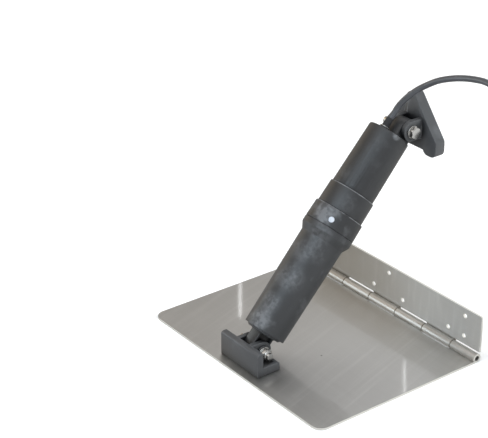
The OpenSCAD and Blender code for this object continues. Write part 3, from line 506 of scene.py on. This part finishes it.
TUBE_RUBS_AND_SHEEN = (
    (on_tube(15, 25, 30), 17, 1.2), (on_tube(14, 25, 52), 16, 0.7), (on_tube(24, 25.5, 86), 22, 0.5),
    (on_tube(14, 26, 118), 18, 0.35), (on_tube(30, 29, 146), 20, 0.45), (on_tube(50, 26, 125), 18, 0.25),
)
tube_look = moulding("tube_moulding", scuffs=0.7, shine=0.42, fade=0.05, rubs_and_sheen=TUBE_RUBS_AND_SHEEN)
lower_tube = turned("lower_tube", TUBE_PROFILE, TURNED_EDGE)
paint(lower_tube, tube_look)

# Tube end cap, wiper seal and guide bush
# A stepped black moulded ring closes the tube round the ram, with a rubber lip inside it.
# The plain plastic bearing behind it is hidden, as are the other two rubber rings.
RUBBER_DARK = (0.014, 0.014, 0.015, 1)
RUBBER_LIGHT = (0.034, 0.034, 0.036, 1)
GUIDE_DARK = (0.55, 0.52, 0.44, 1)
GUIDE_LIGHT = (0.68, 0.65, 0.56, 1)
# The end cap takes the bracket's moulding, with edges painted pale, part wear and part painted highlight,
# and painted shade in its hollows.
paint(nodes["tube_end_cap"], bracket_look)
rubber_look, rubber_surface, rubber_spot = new_look("soft_rubber", {"Specular IOR Level": 0.35})
rubber_cloud = noise(rubber_spot, 150, 3)
feed(rubber_surface, {
    "Base Color": blend(rubber_cloud, RUBBER_DARK, RUBBER_LIGHT),
    "Roughness": 0.55 + 0.2 * rubber_cloud,
    "Normal": bump(noise(rubber_spot, 900, 2), 0.1, 0.0003),
})
for ring in ("wiper_seal", "housing_seal", "motor_damper"):
    paint(nodes[ring], rubber_look)
guide_look, guide_surface, guide_spot = new_look("guide_plastic", {"Specular IOR Level": 0.4})
guide_cloud = noise(guide_spot, 90, 3)
feed(guide_surface, {
    "Base Color": blend(guide_cloud, GUIDE_DARK, GUIDE_LIGHT),
    "Roughness": 0.4 + 0.15 * guide_cloud,
})
paint(nodes["guide_bush"], guide_look)

# Collar and plug
# A black moulded ring over the joint of tube and housing, with one small white plug in its side.
# Pale clouds, part rubbed and part painted sheen, show on it more than anywhere else, and a painted
# highlight runs along its top rim.
COLLAR_RUBS_AND_SHEEN = (
    (on_tube(10, 29.5, 167), 15, 1.5), (on_tube(34, 29.5, 173), 10, 0.7), (on_tube(26, 29.5, 158), 9, 0.8),
)
COLLAR_RIM = 177.2
WHITE_DARK = (0.60, 0.64, 0.72, 1)
WHITE_LIGHT = (0.68, 0.72, 0.79, 1)
collar_look = moulding(
    "collar_moulding", scuffs=0.9, shine=0.42, rubs_and_sheen=COLLAR_RUBS_AND_SHEEN, highlight_rims=(COLLAR_RIM,))
collar = rounded("collar", width=0.5, steps=3)
paint(collar, collar_look)
white_look, white_surface, white_spot = new_look("white_plug", {"Specular IOR Level": 0.5})
white_cloud = noise(white_spot, 300, 2)
feed(white_surface, {
    "Base Color": blend(white_cloud, WHITE_DARK, WHITE_LIGHT),
    "Roughness": 0.3 + 0.2 * white_cloud,
})
plug = rounded("collar_plug", width=0.3)
paint(plug, white_look)

# Lock ring
# A narrower black moulded ring between collar and housing.
# A dark line parts it from the collar, and a painted highlight runs along its top rim beside a faint pale
# cloud, part rubbed and part painted sheen.
RING_PROFILE = ((24.8, 177.5), (28.2, 177.5), (27.8, 204.5), (24.8, 204.5))
RING_RUBS_AND_SHEEN = ((on_tube(50, 28, 188), 16, 0.2),)
RING_RIM = 204.2
ring_look = moulding(
    "ring_moulding", scuffs=0.6, shine=0.40, fade=0.02, rubs_and_sheen=RING_RUBS_AND_SHEEN, highlight_rims=(RING_RIM,))
lock_ring = turned("lock_ring", RING_PROFILE, TURNED_EDGE)
paint(lock_ring, ring_look)

# Upper housing
# The motor's black moulded shell, with a rounded top edge and an eye standing behind its axis.
# It is smoother than the tube, with a painted highlight for the thin bright rim of light at the top.
HOUSING_PAINTED_HIGHLIGHT = ((on_tube(62, 24.5, 282), 7, 1.4),)
housing_look = moulding("housing_moulding", scuffs=0.25, shine=0.42, rubs_and_sheen=HOUSING_PAINTED_HIGHLIGHT)
upper_housing = rounded("upper_housing", width=0.5)
paint(upper_housing, housing_look)

# Motor and gearbox
# Plated steel cans sealed inside the housing.
# They never show.
CAN_DARK = (0.30, 0.30, 0.31, 1)
CAN_LIGHT = (0.42, 0.42, 0.43, 1)
can_look, can_surface, can_spot = new_look("plated_can", {"Metallic": 1.0})
can_cloud = noise(can_spot, 40, 3)
feed(can_surface, {
    "Base Color": blend(can_cloud, CAN_DARK, CAN_LIGHT),
    "Roughness": 0.34 + 0.2 * can_cloud,
})
for can in ("motor", "gearbox"):
    paint(nodes[can], can_look)

# Cable gland and clip
# A small black rubber boot carries the lead out of the housing's top and tapers towards it.
# A thin bright steel clip grips its foot.
gland = rounded("cable_gland", width=0.4)
paint(gland, rubber_look)
paint(nodes["gland_clip"], bright_look)


# Cable
# A black jacketed lead leaves the gland, arches over to the right and hangs down to the floor.
# The length that the photograph doesn't show lies beside the tab in a flat coil of two layers.
CABLE_D = 7.0
CABLE_DARK = (0.048, 0.050, 0.056, 1)
CABLE_LIGHT = (0.088, 0.092, 0.102, 1)
CABLE_ROUNDNESS = 6
GLAND_OFFSET = 12.0
GLAND_MOUTH_S = 296.5
COIL_X = 215.0
COIL_Y = 45.0
COIL_RADII = (45.2, 38.1, 31.0)
COIL_TOP_Z = -10.35
COIL_LOW_Z = -17.45
COIL_START = 180
COIL_STEP = 10
COIL_TOP_ARC = 1080
COIL_LOW_ARC = 900
SHIFT_ARC = 60
CABLE_TAIL_Y = 16.0
ROUTE_STEPS = 5
CABLE_ROUTE = (
    (1, -8, 229), (3, -3, 238), (9, 2, 248), (19, 7, 259), (31, 11, 268.4), (46, 14, 277.8),
    (63, 16.5, 285), (79, 17, 290.3), (96, 16.5, 294.6), (117, 14, 298.4), (136, 10.5, 297.5),
    (152, 6.5, 288), (162, 3.5, 270.5), (167.5, 1.5, 248), (169.5, 0, 217), (170, 0, 180),
    (170, 0, 140), (170, 0, 100), (170, 1, 65), (170, 4, 37), (170, 10, 15), (170, 20, -1),
    (170, 33, -8.5), (170, 46, -10.4),
)


def smooth_through(points, steps):
    """A curve through all the points, as a list of closer points."""
    result = []
    for i in range(len(points) - 1):
        a = points[max(i - 1, 0)]
        b = points[i]
        c = points[i + 1]
        d = points[min(i + 2, len(points) - 1)]
        for k in range(steps):
            t = k / steps
            result.append(
                b + t * (c - a) / 2 + t * t * (2 * a - 5 * b + 4 * c - d) / 2
                + t ** 3 * (3 * b - a - 3 * c + d) / 2)
    return result


def rise(value):
    """A soft step from 0 to 1."""
    value = min(max(value, 0.0), 1.0)
    return value * value * (3 - 2 * value)


def coil_points():
    """Top layer wound inwards, bottom layer outwards, both clockwise from above."""
    result = []
    pitch = COIL_RADII[0] - COIL_RADII[1]
    for angle in range(0, COIL_TOP_ARC, COIL_STEP):
        turn, into = divmod(angle, 360)
        shift = rise((into - 360 + SHIFT_ARC) / SHIFT_ARC)
        radius = COIL_RADII[turn] - (pitch * shift if turn < 2 else 0)
        height = COIL_TOP_Z + (COIL_LOW_Z - COIL_TOP_Z) * (shift if turn == 2 else 0)
        result.append((radius, COIL_START - into, height))
    for angle in range(0, COIL_LOW_ARC + 1, COIL_STEP):
        turn, into = divmod(angle, 360)
        shift = rise((into - 360 + 2 * SHIFT_ARC) / SHIFT_ARC)
        radius = COIL_RADII[2 - turn] + (pitch * shift if turn < 2 else 0)
        result.append((radius, COIL_START - into, COIL_LOW_Z))
    return [
        Vector((COIL_X + r * cos(radians(a)), COIL_Y + r * sin(radians(a)), z))
        for r, a, z in result]


gland_mouth = at_actuator(0, -GLAND_OFFSET, GLAND_MOUTH_S)
cable_line = smooth_through([gland_mouth] + [Vector(p) for p in CABLE_ROUTE], ROUTE_STEPS) + coil_points()
cable_line.append(Vector((COIL_X + COIL_RADII[0], (COIL_Y + CABLE_TAIL_Y) / 2, COIL_LOW_Z)))
cable_line.append(Vector((COIL_X + COIL_RADII[0], CABLE_TAIL_Y, COIL_LOW_Z)))
cable_curve = bpy.data.curves.new("cable_lead", "CURVE")
cable_curve.dimensions = "3D"
cable_curve.bevel_depth = CABLE_D / 2 * MM
cable_curve.bevel_resolution = CABLE_ROUNDNESS
cable_curve.use_fill_caps = True
cable_spline = cable_curve.splines.new("POLY")
cable_spline.points.add(len(cable_line) - 1)
for point, place in zip(cable_spline.points, cable_line):
    point.co = (*(place * MM), 1.0)
cable_spline.use_smooth = True
cable_lead = shown(bpy.data.objects.new("cable_lead", cable_curve))
cable_look, cable_surface, cable_spot = new_look("cable_jacket", {"Specular IOR Level": 0.5})
cable_cloud = noise(cable_spot, 60, 3)
cable_fine = noise(cable_spot, 900, 2)
feed(cable_surface, {
    "Base Color": blend(cable_cloud, CABLE_DARK, CABLE_LIGHT),
    "Roughness": 0.27 + 0.12 * cable_cloud,
    "Normal": bump(cable_fine, 0.06, 0.0004),
})
paint(cable_lead, cable_look)
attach(cable_lead, "housing")
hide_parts("cable", "cable_coil")

# Coil ties
# Two black nylon bands, on opposite sides of the coil, go round its turns and hold them together.
# Their undersides lie on the floor.
TIE_DARK = (0.020, 0.020, 0.021, 1)
TIE_LIGHT = (0.045, 0.045, 0.047, 1)
tie_look, tie_surface, tie_spot = new_look("tie_nylon", {"Specular IOR Level": 0.4})
tie_cloud = noise(tie_spot, 120, 2)
feed(tie_surface, {
    "Base Color": blend(tie_cloud, TIE_DARK, TIE_LIGHT),
    "Roughness": 0.42 + 0.2 * tie_cloud,
    "Normal": bump(noise(tie_spot, 1500, 1, (1, 1, 0.1)), 0.1, 0.0003),
})
paint(nodes["coil_ties"], tie_look)

# Cable connector
# A plain two-pole nylon plug body with a tapered boot ends the lead.
# It lies on the floor beside the coil.
PLUG_DARK = (0.022, 0.022, 0.024, 1)
PLUG_LIGHT = (0.040, 0.040, 0.043, 1)
plug_look, plug_surface, plug_spot = new_look("connector_nylon", {"Specular IOR Level": 0.45})
plug_cloud = noise(plug_spot, 80, 3)
feed(plug_surface, {
    "Base Color": blend(plug_cloud, PLUG_DARK, PLUG_LIGHT),
    "Roughness": 0.38 + 0.2 * plug_cloud,
    "Normal": bump(noise(plug_spot, 1200, 2), 0.08, 0.0003),
})
paint(nodes["cable_connector"], plug_look)

# Upper bracket
# A black three-cornered moulding with two thick ears that carry the upper bolt.
# It is screwed to the transom and has the same satin skin as the lower bracket, with the same edges painted
# pale, part wear and part painted highlight, and the same painted shade in its hollows.
upper_bracket = rounded("upper_bracket", width=0.8, steps=3)
paint(upper_bracket, bracket_look)

# Upper pivot bolt, nut and washers
# The same bright hex bolt as below, here with its head on the near side.
# The head's face is brushed.
for fastener in ("upper_pivot_bolt", "upper_pivot_nut", "upper_pivot_washers"):
    piece = rounded(fastener, width=FASTENER_EDGE)
    paint(piece, bright_look)


# Floor and light
# The photograph is a plain studio shot on white, with soft light from above, the left and the right.
# The floor keeps a pale contact shadow and is open from below, so that the underside can be seen.
# In mirrors the floor is a painted glow, dim on the left and lit on the right.
FLOOR_Z = -22.2
FLOOR_GAP = 0.05
FLOOR_HALF = 4.0
FLOOR_WHITE = (0.92, 0.92, 0.92, 1)
GLOW_NEAR = (0.26, 0.26, 0.26, 1)
GLOW_FAR = (0.62, 0.62, 0.62, 1)
GLOW_SPREAD = (0.5, 3.0)
PLATE_EDGE_X = (151.0, 154.0)
PLATE_MID_Y = -116.5
PLATE_EDGE_Y = (116.5, 119.5)
MIRROR_DIM = (0.58, 0.57, 0.55, 1)
MIRROR_LIT = (0.98, 1.0, 1.01, 1)
MIRROR_SPAN = (100.0, 220.0)
TOUCH_RANGE = (0.5, 1.0)
floor_level = (FLOOR_Z - FLOOR_GAP) * MM
floor_mesh = bpy.data.meshes.new("floor")
floor_mesh.from_pydata(
    [(-FLOOR_HALF, -FLOOR_HALF, floor_level), (FLOOR_HALF, -FLOOR_HALF, floor_level),
     (FLOOR_HALF, FLOOR_HALF, floor_level), (-FLOOR_HALF, FLOOR_HALF, floor_level)], [], [(0, 1, 2, 3)])
floor = shown(bpy.data.objects.new("floor", floor_mesh))
floor_look, floor_surface, floor_spot = new_look("floor_white", {
    "Base Color": FLOOR_WHITE, "Roughness": 0.9, "Specular IOR Level": 0.0, "Emission Strength": 1.0})
direct = floor_spot.node("LightPath", {}, {}, "Is Camera Ray")
beyond_x = ease_mm(abs(coordinate(floor_spot, "X")), *PLATE_EDGE_X)
beyond_y = ease_mm(abs(coordinate(floor_spot, "Y") - PLATE_MID_Y * MM), *PLATE_EDGE_Y)
bare = beyond_x.math("MAXIMUM", beyond_x, beyond_y)
reach = floor_spot.node("VectorMath", {"operation": "LENGTH"}, {0: floor_spot}, "Value")
glow = blend(ease(reach, *GLOW_SPREAD), GLOW_NEAR, GLOW_FAR)
feed(floor_surface, {"Emission Color": blend(direct * bare, (0, 0, 0, 1), glow)})
mirrored = floor_spot.node("LightPath", {}, {}, "Is Glossy Ray")
dim_floor = floor_spot.node("Emission", {}, {"Color": MIRROR_DIM, "Strength": 1.0})
lit_floor = floor_spot.node("Emission", {}, {"Color": MIRROR_LIT, "Strength": 1.0})
to_right = ease_mm(coordinate(floor_spot, "X"), *MIRROR_SPAN)
mirror_floor = floor_spot.node("MixShader", {}, {0: to_right, 1: dim_floor, 2: lit_floor})
plain_floor = Field(floor_look.node_tree, floor_surface.outputs[0])
seen_floor = floor_spot.node("MixShader", {}, {0: mirrored, 1: plain_floor, 2: mirror_floor})
below = floor_spot.node("NewGeometry", {}, {}, "Backfacing")
touching = 1 - ease_mm(floor_spot.node("LightPath", {}, {}, "Ray Length"), *TOUCH_RANGE)
open_side = below.math("MAXIMUM", below, touching)
clear = floor_spot.node("BsdfTransparent", {}, {"Color": (1, 1, 1, 1)})
one_sided = floor_spot.node("MixShader", {}, {0: open_side, 1: seen_floor, 2: clear})
feed(floor_look.node_tree.nodes["Material Output"], {"Surface": one_sided})
paint(floor, floor_look)


def softbox(name, place, target, size, power, colour=(1, 1, 1)):
    data = bpy.data.lights.new(name, "AREA")
    data.shape = "RECTANGLE"
    data.size, data.size_y = size
    data.energy = power
    data.color = colour
    lamp = shown(bpy.data.objects.new(name, data))
    lamp.location = place
    lamp.rotation_euler = (Vector(target) - Vector(place)).to_track_quat("-Z", "Y").to_euler()
    return lamp


softbox("top_light", (-0.3, -0.2, 2.2), (0, -0.1, 0), size=(3.0, 3.0), power=24)
softbox("window", (0.35, -2.0, 1.7), (0, -0.1, 0.1), size=(1.6, 1.2), power=20, colour=(0.72, 0.87, 1.0))
softbox(
    "low_light", (-1.45, -1.35, 0.32), (0, -0.1, 0.0), size=(1.3, 0.7), power=7.5, colour=(0.80, 0.92, 1.0))
softbox(
    "near_light", (1.5, -1.9, 1.6), (0, -0.1, 0.1), size=(1.8, 1.2), power=11, colour=(0.74, 0.88, 1.0))
right_light = softbox(
    "right_light", (1.7, 1.2, 0.9), (0, 0, 0.1), size=(1.2, 1.4), power=36, colour=(0.97, 1.0, 0.98))
right_light.visible_glossy = False
softbox("left_fill", (-2.2, -0.5, 0.6), (0, 0, 0.1), size=(1.4, 1.2), power=4, colour=(1.0, 0.84, 0.62))


def strip_light(name, low, high, half_width, strength):
    """A thin bright tube, seen only in mirrors, that leaves a streak on the plate."""
    mesh = bpy.data.meshes.new(name)
    half = Vector(half_width)
    corners = [Vector(low) - half, Vector(low) + half, Vector(high) + half, Vector(high) - half]
    mesh.from_pydata([tuple(c) for c in corners], [], [(0, 1, 2, 3)])
    piece = shown(bpy.data.objects.new(name, mesh))
    piece.visible_camera = False
    piece.visible_diffuse = False
    piece.visible_shadow = False
    look = new_look(name, {
        "Base Color": (0, 0, 0, 1), "Emission Color": (1, 1, 1, 1), "Emission Strength": strength})[0]
    paint(piece, look)


strip_light("strip_left", (-2.25, 1.482, 1.426), (-2.155, 1.41, 1.484), (0.0026, 0.0034, 0), strength=6)
strip_light("strip_right", (-1.7325, 1.708, 1.548), (-1.658, 1.643, 1.60), (0.0018, 0.0019, 0), strength=7)
TO_THE_RIGHT = (0.606, 0.795, 0.0)
ROOM_WARM = (0.42, 0.335, 0.245, 1)
ROOM_BROWN = (0.29, 0.265, 0.235, 1)
ROOM_PALE = (0.83, 0.84, 0.86, 1)
ROOM_GREY = (0.56, 0.575, 0.59, 1)
FILL_WARM = (0.40, 0.34, 0.27, 1)
FILL_COOL = (0.39, 0.40, 0.42, 1)
BACKDROP_WHITE = (1.0, 1.0, 1.0, 1)
world = bpy.data.worlds.new("studio")
bpy.context.scene.world = world
world.use_nodes = True
sky = Field(world.node_tree)
heading = sky.node("TexCoord", {}, {}, "Generated")
across = heading.node("VectorMath", {"operation": "DOT_PRODUCT"}, {0: heading, 1: TO_THE_RIGHT}, "Value")
left_side = blend(ease(across, -0.75, -0.30), ROOM_WARM, ROOM_BROWN)
dim_side = blend(ease(across, -0.16, 0.22), left_side, ROOM_PALE)
room = blend(ease(across, 0.25, 0.85), dim_side, ROOM_GREY)
seen = sky.node("LightPath", {}, {}, "Is Camera Ray")
glossy = sky.node("LightPath", {}, {}, "Is Glossy Ray")
fill = blend(ease(across, -0.8, 0.3), FILL_WARM, FILL_COOL)
backdrop = world.node_tree.nodes["Background"]
backdrop.inputs["Strength"].default_value = 1.0
feed(backdrop, {"Color": blend(seen, blend(glossy, fill, room), BACKDROP_WHITE)})
bpy.context.scene.view_settings.view_transform = "Standard"
